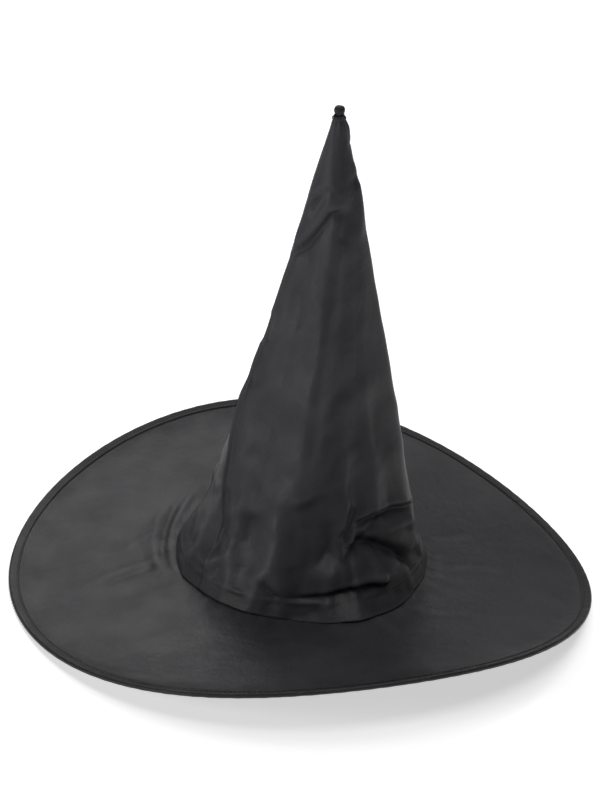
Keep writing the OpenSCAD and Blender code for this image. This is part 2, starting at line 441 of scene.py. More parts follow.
def roll_sheet(name, around, across, place, cut):
    """A flat grid of cloth rolled into a ring and sewn to itself along its two ends.
    place and cut give each point's place on the hat, and on the flat cloth that it was cut from."""
    deselect()
    bpy.ops.mesh.primitive_grid_add(x_subdivisions=around, y_subdivisions=across, size=1)
    piece = bpy.context.object
    piece.name = name
    flat = points_of(piece)
    u = flat[:, 0] + 0.5
    v = flat[:, 1] + 0.5
    set_points(piece, place(u, v))
    keep_value(piece, "way_round", u)
    keep_value(piece, "way_across", v)
    mesh = piece.data
    corner = np.zeros(len(mesh.loops), np.int32)
    mesh.loops.foreach_get("vertex_index", corner)
    mesh.uv_layers[0].name = "cut"
    mesh.uv_layers["cut"].data.foreach_set("uv", cut(u, v)[corner].astype(np.float32).ravel())
    bpy.ops.object.mode_set(mode="EDIT")
    bpy.ops.mesh.select_all(action="SELECT")
    bpy.ops.mesh.remove_doubles(threshold=0.01 * MM)
    bpy.ops.object.mode_set(mode="OBJECT")
    bpy.ops.object.shade_smooth()
    return piece


def thicken(piece, thickness, offset):
    """Gives a sheet its thickness: offset -1 puts it all behind the face, 0 half on each side."""
    wall = piece.modifiers.new("thickness", "SOLIDIFY")
    wall.thickness = thickness
    wall.offset = offset
    apply_modifiers(piece)


def neighbours(piece):
    """The two ends of every edge of a piece."""
    ends = np.zeros(len(piece.data.edges) * 2, np.int32)
    piece.data.edges.foreach_get("vertices", ends)
    return ends.reshape(-1, 2)


def neighbour_mean(edges, values):
    """For each point, the mean of a value over the points that it shares an edge with."""
    total = np.zeros_like(values)
    count = np.zeros(len(values))
    for one, other in ((0, 1), (1, 0)):
        np.add.at(total, edges[:, one], values[edges[:, other]])
        np.add.at(count, edges[:, one], 1)
    return total / (count[:, None] if values.ndim == 2 else count)


def mark_wear_and_shade(piece, strength):
    """Keeps how far each point stands out of its surroundings, so that the cloth's colour is painted paler on
    crests, as rubbed wear and painted highlight, and darker in hollows, as painted shade.
    """
    points = points_of(piece)
    edges = neighbours(piece)
    proud = ((points - neighbour_mean(edges, points)) * points_of(piece, "normal")).sum(axis=1)
    for _ in range(3):
        proud = neighbour_mean(edges, proud)
    keep_value(piece, "wear_and_shade", np.clip(0.5 + strength * proud / MM, 0, 1))


# Rounds of averaging that even out narrow wrinkles, and the share that is kept of broader ones
EVEN_ROUNDS = 14
EVEN_SHARE = 0.4


def settle(piece, held, frames, slack, cap, calm):
    """Lets a sheet settle by cloth simulation with the points held fast where held is 1.
    slack is how much longer the cloth is than its shape, no point moves further than about cap,
    and calm is 1 where wrinkles are evened out and 0 where all of them stay."""
    before = points_of(piece)
    sewn = piece.vertex_groups.new(name="sewn")
    for weight in np.unique(held):
        if weight > 0:
            sewn.add(np.nonzero(held == weight)[0].tolist(), float(weight), "REPLACE")
    cloth = piece.modifiers.new("settle", "CLOTH")
    rules = cloth.settings
    rules.quality = 5
    rules.mass = 0.12
    rules.tension_stiffness = rules.compression_stiffness = 20
    rules.shear_stiffness = 8
    rules.bending_stiffness = 0.4
    rules.air_damping = 2
    rules.vertex_group_mass = "sewn"
    rules.shrink_min = rules.shrink_max = -slack
    rules.effector_weights.gravity = 0.3
    cloth.collision_settings.use_collision = False
    cloth.point_cache.frame_start = 1
    cloth.point_cache.frame_end = frames
    for step in range(1, frames + 1):
        scene.frame_set(step)
    apply_modifiers(piece)
    piece.vertex_groups.clear()
    moved = points_of(piece) - before
    even = moved
    edges = neighbours(piece)
    for _ in range(EVEN_ROUNDS):
        even = neighbour_mean(edges, even)
    moved += calm[:, None] * (EVEN_SHARE * even - moved)
    length = np.linalg.norm(moved, axis=1, keepdims=True) + 1e-12
    set_points(piece, before + moved * (cap * np.tanh(length / cap) / length))
    scene.frame_set(1)


def turned(degrees):
    """A difference of directions, brought to between -180 and 180 degrees."""
    return (degrees + 180) % 360 - 180


def stroke(degrees, height, mm_per_degree, course, width, kind="soft"):
    """How strongly a fold shows at each point, from 0 away from it to 1 along its middle.
    course runs through (direction, height in mm) places, and the fold thins out at both its ends."""
    nearest = np.full(degrees.shape, 1e9)
    way = np.zeros(degrees.shape)
    side = np.zeros(degrees.shape)
    spans = len(course) - 1
    for i, ((a, b), (c, d)) in enumerate(zip(course, course[1:])):
        across = turned(degrees - a) * mm_per_degree
        up = height - b
        span_across = turned(c - a) * mm_per_degree
        span_up = d - b
        span = span_across ** 2 + span_up ** 2 + 1e-9
        share = np.clip((across * span_across + up * span_up) / span, 0, 1)
        distance = np.hypot(across - share * span_across, up - share * span_up)
        closer = distance < nearest
        nearest = np.where(closer, distance, nearest)
        way = np.where(closer, (i + share) / spans, way)
        side = np.where(closer, np.sign(span_across * up - span_up * across), side)
    ends = np.clip(np.minimum(way, 1 - way) * 5, 0, 1)
    ends = 0.15 + 0.85 * ends * ends * (3 - 2 * ends)
    if kind == "soft":
        return ends * bell(nearest, width)
    if kind == "sharp":
        return ends * np.exp(-nearest / width)
    # A tuck stands proud on the left of its course and lies low on the right
    return ends * side * np.exp(-nearest / (2.5 * width)) * (1 - np.exp(-nearest / (0.4 * width)))


def fold_field(degrees, height, mm_per_degree, folds):
    """The sum of a list of folds, in mm: each is lift and width in mm, course, and kind unless soft."""
    total = np.zeros(degrees.shape)
    for lift, width, course, *kind in folds:
        total += lift * stroke(degrees, height, mm_per_degree, course, width, *kind)
    return total


# ---- crown

CROWN_AROUND = 248
CROWN_UP = 180
# The crown's mesh is finer near its foot, and in a strip on each side of the seam
ROW_CROWDING = 1.3
STRIP_COLUMNS = 6
STRIP_SIDE_MM = 5
CLOTH_MM = 0.4
# Seam allowance at the foot of the crown
ALLOWANCE_MM = 12


def seam_direction(z):
    """Direction of the crown's own seam at height z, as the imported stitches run."""
    return np.interp(z, seam_heights, seam_headings)


def read_seam():
    """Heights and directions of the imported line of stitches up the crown."""
    points = np.vstack([corners_of("crown_seam_thread"), corners_of("peak_seam_thread")])
    heading = np.degrees(np.arctan2(points[:, 1], points[:, 0] - crown_axis(points[:, 2]))) % 360
    heights = np.arange(10 * MM, points[:, 2].max(), 20 * MM)
    near = [np.abs(points[:, 2] - z) < 20 * MM for z in heights]
    return heights, np.array([heading[rows].mean() for rows in near])


seam_heights, seam_headings = read_seam()

# The long edges at which the stuffed cone bends from one flat side to the next,
# each as its directions at the heights below, in mm
EDGE_HEIGHTS = [0, 60, 120, 180, 240, 335]
LONG_EDGES = [
    [218, 212, 204, 194, 191, 192],
    [257, 258, 262, 269, 284, 290],
    [348, 352, 354, 353, 350, 342],
    [34, 38, 42, 40, 36, 34],
    [88, 92, 96, 92, 88, 86],
    [150, 146, 144, 148, 150, 150],
]
# How far from a long edge, in degrees, its bend is rounded
EDGE_ROUND = 6

CROWN_FOLDS = [
    # soft folds below the tip, where the peak has been folded
    (1.6, 6, [(214, 262), (236, 274), (262, 284), (286, 290)]),
    (-1.6, 5, [(302, 276), (298, 262), (288, 250)]),
    (1.2, 5, [(318, 246), (330, 262), (342, 280), (350, 294)]),
    (1.0, 5, [(335, 250), (344, 275), (350, 292), (352, 305)]),
    (1.0, 5, [(352, 330), (354, 322), (356, 316)]),
    # the long soft valley beside the front edge
    (-3.4, 12, [(300, 246), (291, 215), (283, 175), (279, 130), (276, 90)]),
    (-0.9, 9, [(226, 226), (230, 205), (238, 188)]),
    # the crown bulges to the left below the bend in its seam
    (1.8, 16, [(196, 150), (196, 125), (194, 96), (190, 70)]),
    (-1.4, 8, [(190, 196), (192, 182), (193, 172)]),
    # soft dents round the foot on the left and in the middle
    (-3.2, 15, [(204, 72), (212, 50), (222, 26)]),
    (-3.2, 12, [(232, 66), (238, 44), (243, 20)]),
    (-4.6, 18, [(266, 84), (273, 56), (280, 28)]),
    (-2.0, 13, [(298, 90), (308, 72), (302, 52)]),
    (1.2, 7, [(250, 90), (251, 66), (254, 34), (256, 6)]),
    (2.0, 6, [(224, 76), (228, 46), (231, 10)]),
    # the swellings and hollows between the creases low on the right, and above the roll at the front
    (2.6, 5, [(350, 46), (336, 49), (320, 50)]),
    (-4.0, 8, [(297, 46), (312, 42), (326, 32), (339, 18)]),
    (3.4, 7, [(294, 26), (306, 24), (318, 20)]),
    (2.0, 5, [(346, 32), (350, 20), (352, 10)]),
    (-2.8, 6, [(292, 25), (306, 26), (321, 22)], "tuck"),
    # folds on the right side and the back
    (-2.8, 9, [(16, 26), (12, 50), (14, 84)]),
    (2.0, 6, [(28, 14), (26, 46), (30, 90)]),
    (-2.6, 9, [(60, 18), (66, 48), (60, 88)]),
    (-3.0, 10, [(120, 16), (116, 44), (122, 80)]),
    (2.0, 6, [(134, 12), (130, 50), (136, 96)]),
    (-2.6, 9, [(172, 16), (168, 46), (174, 88)]),
    (-2.6, 6, [(48, 238), (90, 252), (128, 248), (168, 234)]),
    (1.6, 5, [(60, 256), (96, 266), (132, 262)]),
    (-2.0, 12, [(62, 200), (66, 160), (62, 120)]),
    (-2.0, 12, [(118, 206), (122, 166), (118, 126)]),
]

CROWN_CREASES = [
    # pressed in after the cloth has settled: the two creases below the tip
    (2.4, 3.8, [(194, 238), (214, 247), (236, 258), (262, 271), (300, 277)], "tuck"),
    (-1.8, 3.0, [(194, 236), (214, 244), (236, 255), (262, 268), (300, 274)], "sharp"),
    (1.3, 2.6, [(198, 279), (222, 283), (254, 288), (286, 290)], "tuck"),
    (-1.2, 2.0, [(224, 262), (240, 272), (250, 282)], "sharp"),
    (-1.1, 2.6, [(322, 288), (342, 293), (2, 291)], "sharp"),
    (-0.7, 2.6, [(330, 318), (345, 317), (5, 313)], "sharp"),
    # the creases and the hollow low on the right
    (2.2, 2.6, [(302, 55), (318, 59), (336, 59), (353, 54)], "tuck"),
    (-2.4, 2.0, [(302, 53), (318, 57), (336, 57), (353, 52)], "sharp"),
    (-2.2, 2.2, [(326, 58), (316, 51), (308, 42), (297, 36)], "sharp"),
    (-5.0, 4.5, [(291, 34), (303, 40), (317, 38), (330, 27), (341, 9)], "sharp"),
    (2.2, 3.2, [(294, 39), (308, 44), (322, 39), (335, 28)], "tuck"),
    (-2.4, 2.2, [(330, 27), (337, 17), (334, 4)], "sharp"),
    (-2.2, 2.4, [(306, 68), (300, 56), (292, 46)], "sharp"),
    # the crease over the roll at the front
    (-4.8, 2.8, [(262, 8), (272, 12), (284, 15), (296, 16), (308, 15), (320, 11)], "sharp"),
    (2.4, 2.8, [(262, 10), (273, 15), (286, 18), (298, 19), (310, 18), (320, 13)], "tuck"),
    (-2.4, 1.8, [(250, 22), (259, 13), (268, 5)], "sharp"),
    # creases at the back
    (-2.6, 2.4, [(96, 38), (112, 50), (130, 47), (148, 36)], "sharp"),
    (-2.2, 2.4, [(28, 62), (44, 54), (60, 60)], "sharp"),
    (-2.0, 2.2, [(60, 30), (78, 38), (92, 34)], "sharp"),
    (-2.0, 2.2, [(154, 62), (168, 54), (182, 60)], "sharp"),
]


def long_edges(degrees, z_mm):
    """How far the flat sides between the long edges lie inside the cone, as a share of its radius."""
    share = np.zeros(degrees.shape)
    edges = np.array([np.interp(z_mm, EDGE_HEIGHTS, row) for row in LONG_EDGES])
    edges = np.sort(edges % 360, axis=0)
    edges = np.vstack([edges, edges[:1] + 360])
    heading = (degrees - edges[0]) % 360 + edges[0]
    for low, high in zip(edges, edges[1:]):
        within = (heading >= low) & (heading < high)
        half = (high - low) / 2
        from_edge = half - np.abs(heading - low - half)
        rounded = np.sqrt(np.maximum(from_edge, 0) ** 2 + EDGE_ROUND ** 2) - EDGE_ROUND
        from_middle = np.radians(np.maximum(half - rounded, 0))
        share = np.where(within, 1 - np.cos(np.radians(half)) / np.cos(from_middle), share)
    return share


def crumpled(degrees, height, mm_per_degree, spacing, tilt, seed):
    """Small flat patches about spacing mm apart, each tilted its own way, as in cloth packed flat.
    tilt is their usual slope, and the result is their lift in mm."""
    chance = np.random.default_rng(seed)
    rows = max(1, round(height.max() / spacing))
    columns = max(3, round(mm_per_degree.max() * 360 / spacing))
    lift = np.zeros(degrees.shape)
    weight = np.full(degrees.shape, 1e-9)
    for row in range(rows):
        for column in range(columns):
            heading = (column + chance.uniform(0, 1)) * 360 / columns
            middle = (row + chance.uniform(0, 1)) * spacing
            slope_across, slope_up = chance.normal(0, tilt, 2)
            near = np.abs(height - middle) < 2.2 * spacing
            across = turned(degrees[near] - heading) * mm_per_degree[near]
            up = height[near] - middle
            share = np.exp(-(across ** 2 + up ** 2) / (2 * (0.42 * spacing) ** 2))
            lift[near] += share * (slope_across * across + slope_up * up)
            weight[near] += share
    return lift / weight


# The roll over the head seam at the front: its height, the direction of its middle and half its spread
ROLL_MM = 13.5
ROLL_MIDDLE = 300
ROLL_HALF = 37


def held_low(offset, z_mm, reach=20):
    """An offset fades away at the head seam, and an inward one over reach mm above the tape too."""
    loose = np.clip((z_mm - crown_foot / MM) / 6, 0, 1)
    above_tape = np.clip((z_mm - 8) / reach, 0, 1)
    fade = np.where(offset > 0, loose, above_tape)
    return offset * fade * (2 - fade)


def crown_place(u, v):
    """The shaped cone: round at the head seam, flat-sided above it, with its folds pressed in."""
    z = crown_foot + (crown_top - crown_foot) * v ** ROW_CROWDING
    radius = crown_radius(z)
    column = u * CROWN_AROUND
    strip_degrees = np.degrees(STRIP_SIDE_MM * MM / radius)
    from_end = np.minimum(column, CROWN_AROUND - column)
    past_strip = (from_end - STRIP_COLUMNS) / (CROWN_AROUND / 2 - STRIP_COLUMNS)
    turn = np.where(
        past_strip <= 0,
        strip_degrees * from_end / STRIP_COLUMNS,
        strip_degrees + (180 - strip_degrees) * past_strip,
    )
    degrees = seam_direction(z) + np.where(column <= CROWN_AROUND / 2, turn, 360 - turn)
    z_mm = z / MM
    mm_per_degree = np.radians(1) * radius / MM
    flatness = np.interp(z_mm, [0, 12, 60, 110, 160, 260, 335], [0, 0.06, 0.5, 0.8, 0.8, 0.55, 0])
    inside = long_edges(degrees, z_mm) * flatness
    offset = -radius / MM * (inside - flatness * 0.035)
    offset += fold_field(degrees, z_mm, mm_per_degree, CROWN_FOLDS)
    crush = np.interp(z_mm, [0, 30, 90, 160, 240, 335], [0.9, 1.1, 0.7, 0.4, 0.35, 0.2])
    crush *= 1 - 0.55 * bell(turned(degrees - 350), 26)
    offset += crush * crumpled(degrees, z_mm, mm_per_degree, 24, 0.2, 4)
    offset += crush * crumpled(degrees, z_mm, mm_per_degree, 11, 0.12, 9)
    # the sewn seam: a valley at the stitches, beside the crest of the allowance that lies to the front of it
    from_seam = turned(degrees - seam_direction(z)) * mm_per_degree
    crest = np.interp(z_mm, [0, 40, 100, 165, 185, 335], [0.5, 1.8, 3.0, 3.0, 1.3, 0.5])
    offset += crest * bell(from_seam - 2.4, 1.5) - 0.6 * bell(from_seam, 1.0)
    # the gathers pulled together under the knot, the fuller side on the right, and the groove of the thread
    top_mm = crown_top / MM
    gather = np.clip((z_mm - top_mm + 32) / 32, 0, 1) ** 2
    offset *= np.clip((top_mm - z_mm) / 10, 0, 1)
    offset += gather * 0.35 * np.cos(np.radians(9 * degrees + 40))
    offset += 0.6 * bell(z_mm - top_mm + 6, 5) * np.clip(np.cos(np.radians(degrees)), 0, 1)
    offset -= 0.6 * bell(z_mm - top_mm + 2, 1.2)
    # the cloth is held at the head seam, flares over the tape and puckers where it was eased in
    offset = held_low(offset, z_mm, 40)
    pucker = np.sin(np.radians(19 * degrees) + 2.6 * np.sin(np.radians(3 * degrees)))
    pucker += 0.6 * np.sin(np.radians(31 * degrees) + 2 * np.sin(np.radians(5 * degrees)))
    offset += held_low(0.8 * pucker * bell(z_mm - 15, 13), z_mm)
    rise = np.clip(z_mm / 2.5, 0, 1)
    offset += 0.32 * np.maximum(14 - z_mm, 0) * rise
    # at the front the cloth rolls out over the head seam and lies on the brim
    from_middle = np.clip(np.abs(turned(degrees - ROLL_MIDDLE)) / ROLL_HALF, 0, 1)
    roll_height = ROLL_MM * (1 - from_middle ** 2)
    offset += 0.55 * np.maximum(roll_height - z_mm, 0) * rise
    slope = np.tan(np.maximum(brim_slope(degrees), 0.02))
    offset = np.minimum(offset, (z_mm - 0.5) / slope * 0.6)
    return round_points(radius + offset * MM, np.radians(degrees), z, crown_axis(z))


def crown_cut(u, v):
    """The cone laid flat is a quarter of a disc: its point is the disc's centre."""
    slant = (crown_top - crown_foot) * (1 - v ** ROW_CROWDING) + ALLOWANCE_MM * MM
    spread_angle = (u - 0.5) * math.pi / 2
    return np.stack([slant * np.sin(spread_angle), -slant * np.cos(spread_angle)], axis=1)


def press_creases(piece):
    """Presses the sharp creases into the settled cloth, where it was folded in its packet."""
    points = points_of(piece)
    across = points[:, 0] - crown_axis(points[:, 2])
    reach = np.hypot(across, points[:, 1])
    degrees = np.degrees(np.arctan2(points[:, 1], across)) % 360
    z_mm = points[:, 2] / MM
    offset = fold_field(degrees, z_mm, np.radians(1) * reach / MM, CROWN_CREASES)
    grow = held_low(offset, z_mm) * MM / reach
    points[:, 0] += across * grow
    points[:, 1] *= 1 + grow
    set_points(piece, points)


def stand_outside(piece):
    """Low down, the crown's cloth stays outside the tape and the brim's turned-up edge."""
    points = points_of(piece)
    reach = np.hypot(points[:, 0], points[:, 1])
    heights = [0, turn_up_z, turn_up_z + 1 * MM, band_high.z, 36 * MM]
    least = np.interp(points[:, 2], heights, [seam_r, seam_r, seam_r - 0.6 * MM, seam_r - 1 * MM, 0])
    push = np.maximum(least, reach) / reach
    points[:, :2] *= push[:, None]
    set_points(piece, points)


crown = roll_sheet("crown_cloth", CROWN_AROUND, CROWN_UP, crown_place, crown_cut)
way = kept_value(crown, "way_across")
held = np.where(way < 0.004, 1, np.round(np.clip((way - 0.84) / 0.1, 0, 1), 1))
calm = np.clip((way - 0.15) / 0.3, 0.15, 1)
settle(crown, held, 14, 0.01, 2.5 * MM, calm)
press_creases(crown)
stand_outside(crown)
mark_wear_and_shade(crown, 3)


def seam_line():
    """The middle of the crown's seam on the finished cloth, from the foot up, and its way out."""
    way = kept_value(crown, "way_round")
    on_seam = np.nonzero((way < 0.001) | (way > 0.999))[0]
    points = points_of(crown)[on_seam]
    order = np.argsort(points[:, 2])
    points = points[order]
    out = points - np.stack([crown_axis(points[:, 2]), points[:, 1] * 0, points[:, 2]], axis=1)
    return points, out / np.linalg.norm(out, axis=1, keepdims=True)


seam_points, seam_outs = seam_line()
thicken(crown, CLOTH_MM * MM, -1)
dress(crown, cloth_finish)
FOLD_REACH = 32 * MM
fold_start = fold_pivot - Vector((0, 0, FOLD_REACH))
fold_end = fold_pivot + Vector((0, 0, FOLD_REACH))
fold_start.x = fold_end.x = 0


def bend_at_fold(piece):
    """Bakes the piece's place into its points; it does not bend where the peak folds over."""
    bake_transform(piece)


bend_at_fold(crown)
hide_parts("crown", "crown_peak")


# ---- brim

BRIM_AROUND = 320
BRIM_ACROSS = 84

BRIM_FOLDS = [
    # with the distance from the head seam in place of the height: ridges beside the crown's foot
    (1.0, 3, [(130, 34), (146, 20), (164, 11), (184, 6), (204, 4)]),
    (-0.9, 3, [(138, 34), (154, 20), (172, 12), (192, 9)]),
    (0.7, 3.5, [(146, 36), (162, 24), (180, 17), (198, 13)]),
    (-0.5, 4, [(166, 36), (180, 26), (196, 20)]),
    # tension wrinkles that run outwards on the left
    (0.6, 3.5, [(193, 62), (189, 38), (184, 14)]),
    (-0.6, 4, [(196, 60), (193, 36), (190, 14)]),
    (0.4, 3.5, [(176, 40), (170, 30), (163, 22)]),
    (-0.4, 6, [(206, 52), (204, 28), (206, 8)]),
    # wrinkles on the right
    (0.6, 4, [(24, 14), (25, 34), (26, 56)]),
    (-0.6, 5, [(18, 8), (8, 5), (353, 6)]),
    (0.6, 4, [(14, 14), (2, 12), (350, 12)]),
    (0.4, 4, [(2, 20), (4, 44), (6, 66)]),
    (-0.5, 3, [(356, 96), (351, 106), (346, 112)], "sharp"),
    (0.5, 4, [(304, 4), (303, 20), (302, 42)]),
    (-0.5, 6, [(318, 10), (322, 34), (330, 60)]),
    (0.4, 9, [(236, 10), (232, 40), (230, 76)]),
    (-0.4, 10, [(262, 20), (266, 56), (270, 90)]),
    # wrinkles at the back
    (0.7, 5, [(62, 6), (60, 30), (58, 60)]),
    (-0.6, 5, [(100, 8), (102, 32), (101, 58)]),
    (0.6, 6, [(116, 10), (113, 40), (112, 72)]),
    (-0.5, 7, [(82, 20), (80, 50), (82, 84)]),
]


def brim_rows(v):
    """Distance along the brim for each row past the head seam, and how much of the row is turned up."""
    up_rows = 8
    row = v * BRIM_ACROSS
    s = np.clip((row - up_rows) / (BRIM_ACROSS - up_rows), 0, 1) * cloth_end_s
    raised = np.clip(1 - row / up_rows, 0, 1)
    return s, raised


def brim_place(u, v):
    """A ring of cloth on the wire hoop, its inner edge turned up inside the crown."""
    degrees = u * 360
    s, raised = brim_rows(v)
    s_mm = s / MM
    mm_per_degree = np.radians(1) * (seam_r + s) / MM
    lift = fold_field(degrees, s_mm, mm_per_degree, BRIM_FOLDS)
    lift += crumpled(degrees, s_mm, mm_per_degree, 30, 0.02, 12)
    # pulls where the strip's stitches hold the edge, and small puckers along the head seam
    lift += 0.35 * np.sin(np.radians(23 * degrees)) * bell(s_mm - 106, 9)
    lift += 0.45 * np.sin(np.radians(34 * degrees) + 2 * np.sin(np.radians(3 * degrees))) * np.exp(-s_mm / 9)
    lift *= np.clip(s_mm / 5, 0, 1) * np.clip((strip_s / MM - 1 - s_mm) / 8, 0, 1)
    points = brim_point(s, lift * MM, degrees)
    inner = seam_r + (turn_up_r - seam_r) * np.clip(raised * 4, 0, 1)
    standing = round_points(inner, np.radians(degrees), raised * turn_up_z)
    return np.where((raised > 0)[:, None], standing, points)


def brim_cut(u, v):
    """The brim laid flat is a ring."""
    s, raised = brim_rows(v)
    reach = seam_r + s - raised * turn_up_z
    return np.stack([reach * np.cos(u * 2 * math.pi), reach * np.sin(u * 2 * math.pi)], axis=1)


# The grid's ends run the other way round, so that the cloth faces up
brim = roll_sheet(
    "brim_cloth", BRIM_AROUND, BRIM_ACROSS,
    lambda u, v: brim_place(1 - u, v), lambda u, v: brim_cut(1 - u, v),
)
reach_s, _ = brim_rows(kept_value(brim, "way_across"))
held = np.where((reach_s < 1 * MM) | (reach_s > strip_s - 1 * MM), 1.0, 0.0)
settle(brim, held, 10, 0.004, 1.6 * MM, np.full(len(held), 0.2))
mark_wear_and_shade(brim, 8)
thicken(brim, CLOTH_MM * MM, 0)
dress(brim, cloth_finish)
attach(brim, "hat")
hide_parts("brim")


# ---- binding of the rim

BINDING_AROUND = 720
STRIP_MM = 0.35
# The strip's width once it is unfolded
STRIP_FLAT_MM = 17
STITCH_PITCH_MM = 3.2
rim_round_mm = 2 * math.pi * (seam_r + stitch_s) / MM
stitch_count = round(rim_round_mm / STITCH_PITCH_MM)


def strip_outline():
    """Half-thickness line of the folded strip: under the cloth, round the wire and back over the cloth."""
    flat = stitch_lift - STRIP_MM * MM
    bend = rim_s - wire_s - STRIP_MM * MM / 2
    lower = [
        (strip_s, -flat), (strip_s + 1 * MM, -flat), (stitch_s, -flat + 0.1 * MM), (stitch_s + 1 * MM, -flat),
        (cloth_end_s - 1.4 * MM, -flat * 1.2),
    ]
    angles = np.radians(np.arange(-100, 101, 20))
    turn = [(wire_s + bend * math.cos(a), bend * math.sin(a)) for a in angles]
    upper = [(s, -n) for s, n in reversed(lower)]
    return np.array(lower + turn + upper)


def binding_place(u, v):
    """The strip follows the rim and puckers a little between its stitches."""
    outline = strip_outline()
    step = np.linspace(0, 1, len(outline))
    degrees = u * 360
    s = np.interp(v, step, outline[:, 0])
    n = np.interp(v, step, outline[:, 1])
    beat = np.radians(degrees * stitch_count)
    drift = np.sin(np.radians(7 * degrees)) + 0.6 * np.sin(np.radians(19 * degrees) + 1)
    near_stitches = bell(s - stitch_s, 1.6 * MM)
    n = n + np.sign(n) * near_stitches * 0.12 * MM * (np.cos(beat) + 0.3 * drift)
    edge = bell(s - strip_s, 0.8 * MM)
    s = s + edge * 0.18 * MM * drift
    body = np.clip((s - stitch_s) / (3 * MM), 0, 1)
    n = n * (1 + body * (0.05 * np.sin(beat / 3 + drift) + 0.04 * np.sin(beat / 5)))
    return brim_point(s, n, degrees)


def binding_cut(u, v):
    """The strip laid flat is long and narrow."""
    return np.stack([u * rim_round_mm * MM, v * STRIP_FLAT_MM * MM], axis=1)


binding = roll_sheet("binding_strip", BINDING_AROUND, len(strip_outline()) - 1, binding_place, binding_cut)
mark_wear_and_shade(binding, 6)
thicken(binding, STRIP_MM * MM, 0)
dress(binding, shaded_strip_finish)
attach(binding, "hat")
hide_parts("rim_binding")


# ---- stitches

THREAD_MM = 0.42


def new_mesh(name, corners, faces):
    """A mesh from its corners and its faces."""
    mesh = bpy.data.meshes.new(name)
    mesh.from_pydata(corners.reshape(-1, 3).tolist(), [], faces)
    mesh.update()
    return mesh


def one_stitch(name, length_mm):
    """One stitch of thread along X: it rises out of the cloth, lies on it and dips back in."""
    deselect()
    bpy.ops.mesh.primitive_cylinder_add(
        vertices=6, radius=THREAD_MM * MM / 2, depth=length_mm * MM, end_fill_type="NGON",
        rotation=(0, math.pi / 2, 0),
    )
    piece = bpy.context.object
    piece.name = name
    bpy.ops.object.transform_apply(location=True, rotation=True, scale=True)
    bpy.ops.object.mode_set(mode="EDIT")
    for place in (-0.36, -0.15, 0.15, 0.36):
        bpy.ops.mesh.select_all(action="SELECT")
        bpy.ops.mesh.bisect(plane_co=(place * length_mm * MM, 0, 0), plane_no=(1, 0, 0))
    bpy.ops.object.mode_set(mode="OBJECT")
    points = points_of(piece)
    along = np.abs(points[:, 0]) / (length_mm * MM / 2)
    points[:, 2] -= 0.45 * MM * np.clip(along - 0.55, 0, 1) ** 1.3 / 0.45 ** 1.3
    set_points(piece, points)
    bpy.ops.object.shade_smooth()
    return piece


def sew(name, stitch, places, alongs, outs):
    """A row of stitches: one piece with a copy of the stitch at each place, along the seam."""
    alongs = alongs / np.linalg.norm(alongs, axis=1, keepdims=True)
    acrosses = np.cross(outs, alongs)
    acrosses /= np.linalg.norm(acrosses, axis=1, keepdims=True)
    outs = np.cross(alongs, acrosses)
    shape = points_of(stitch)
    faces = [tuple(p.vertices) for p in stitch.data.polygons]
    corners = (
        places[:, None]
        + shape[None, :, 0:1] * alongs[:, None]
        + shape[None, :, 1:2] * acrosses[:, None]
        + shape[None, :, 2:3] * outs[:, None]
    )
    count = len(shape)
    sewn = [tuple(k + i * count for k in face) for i in range(len(places)) for face in faces]
    piece = bpy.data.objects.new(name, new_mesh(name, corners, sewn))
    scene.collection.objects.link(piece)
    pick(piece)
    bpy.ops.object.shade_smooth()
    dress(piece, thread_finish)
    return piece


rim_stitch = one_stitch("rim_stitch", 2.7)
stitch_headings = np.arange(stitch_count) * 360 / stitch_count
for side, row_name in ((1, "binding_stitches_top"), (-1, "binding_stitches_bottom")):
    lift = side * (stitch_lift - 0.02 * MM)
    spots = brim_point(stitch_s, lift, stitch_headings)
    ahead = brim_point(stitch_s, lift, stitch_headings + 0.2) - spots
    above = (brim_point(stitch_s, lift + MM, stitch_headings) - spots) * side
    row = sew(row_name, rim_stitch, spots, ahead, above)
    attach(row, "hat")
    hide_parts("binding_thread")

crown_stitch = one_stitch("crown_stitch", 2.6)
seam_way = np.concatenate([[0], np.cumsum(np.linalg.norm(np.diff(seam_points, axis=0), axis=1))])
seam_spots_way = np.arange(4 * MM, seam_way[-1] - 12 * MM, 3.1 * MM)


def along_seam(way, values):
    """A value of the crown's seam line at each distance up it."""
    return np.stack([np.interp(way, seam_way, values[:, k]) for k in range(3)], axis=1)


seam_spots = along_seam(seam_spots_way, seam_points)
seam_ahead = along_seam(seam_spots_way + MM, seam_points) - along_seam(seam_spots_way - MM, seam_points)
seam_out = along_seam(seam_spots_way, seam_outs)
crown_row = sew("crown_seam_stitches", crown_stitch, seam_spots + 0.1 * MM * seam_out, seam_ahead, seam_out)
bend_at_fold(crown_row)
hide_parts("crown_seam_thread", "peak_seam_thread")


# ---- head band

band_r = band_high.x
band_h = band_high.z
TAPE_MM = 0.45
# How far the middle of the tape lies inside the cloth that it is sewn to
TAPE_IN_MM = 0.25


def band_place(u, v):
    """The tape lies round the inside of the head opening and ripples slightly between its stitches."""
    degrees = u * 360
    z = band_low.z + band_h * v
    ripple = 0.12 * MM * np.sin(np.radians(47 * degrees)) * v
    reach = band_r - TAPE_IN_MM * MM - np.abs(ripple)
    return round_points(reach, np.radians(degrees), z)


def band_cut(u, v):
    """The tape laid flat."""
    return np.stack([u * 2 * math.pi * band_r, v * band_h], axis=1)


band = roll_sheet("head_tape_ring", 240, 8, band_place, band_cut)
thicken(band, TAPE_MM * MM, 0)
dress(band, tape_finish)
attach(band, "hat")
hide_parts("head_band")

